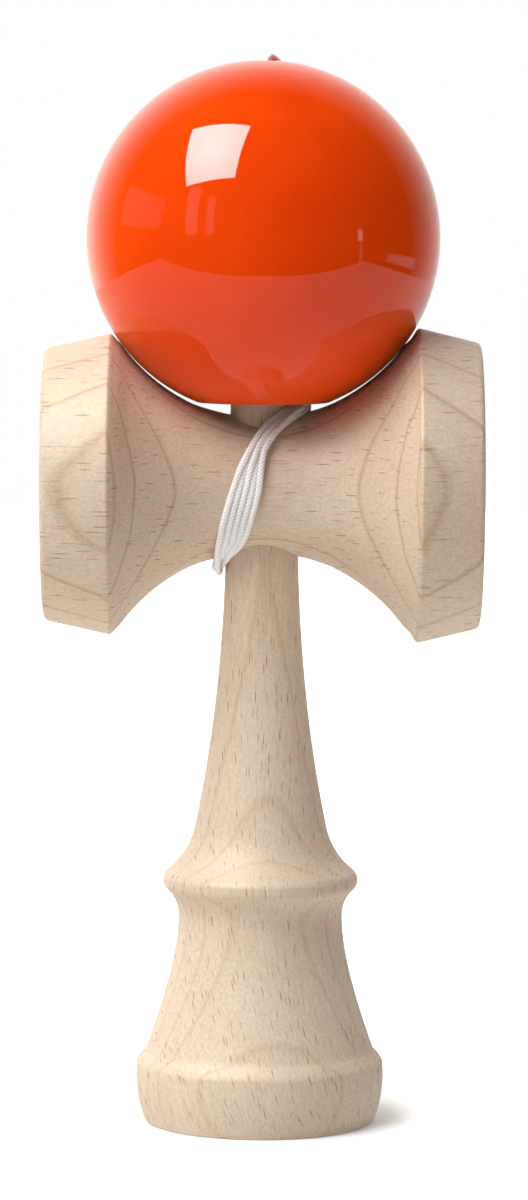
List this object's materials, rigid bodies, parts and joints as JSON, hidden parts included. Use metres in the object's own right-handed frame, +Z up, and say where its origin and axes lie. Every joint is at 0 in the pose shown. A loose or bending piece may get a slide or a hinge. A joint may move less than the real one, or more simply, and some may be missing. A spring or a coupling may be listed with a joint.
{
  "type": "kendama",
  "caption": "Wooden kendama: a turned handle with a spike and base cup, a crosspiece with a cup at each end, and a lacquered ball seated on it, the string wound round the waist.",
  "frame": {"origin": "centre of the base ring on the ground, on the handle's axis", "axes": "+Z up along the handle to the spike and ball, +X along the crosspiece to its big cup, +Y to the back, where the string leaves the crosspiece"},
  "size_m": [0.074, 0.06, 0.1823],
  "materials": {
    "beech": "fine sanded, bare satin",
    "lacquered_wood": "orange gloss lacquer",
    "string": "braided, matt",
    "bead": "bare satin"
  },
  "bodies": {
    "ken": {"ken": "beech", "sarado": "beech", "string_winding": "string", "string_ken_knot": "string", "string_lead": "string"},
    "string_end": {"string_over_ball": "string", "string_bead": "bead", "string_bead_knot": "string"},
    "tama": {"tama": "lacquered_wood"}
  },
  "joints": [
    {"name": "tama_lift", "type": "slide", "parent": "ken", "child": "string_end", "axis": [0, 0, 1], "range_m": [0, 0.04], "deforming": ["string_lead"]},
    {"name": "tama_spin", "type": "hinge", "parent": "string_end", "child": "tama", "pos_m": [0, 0, 0.151], "axis": [0, 0, 1], "continuous": true}
  ]
}
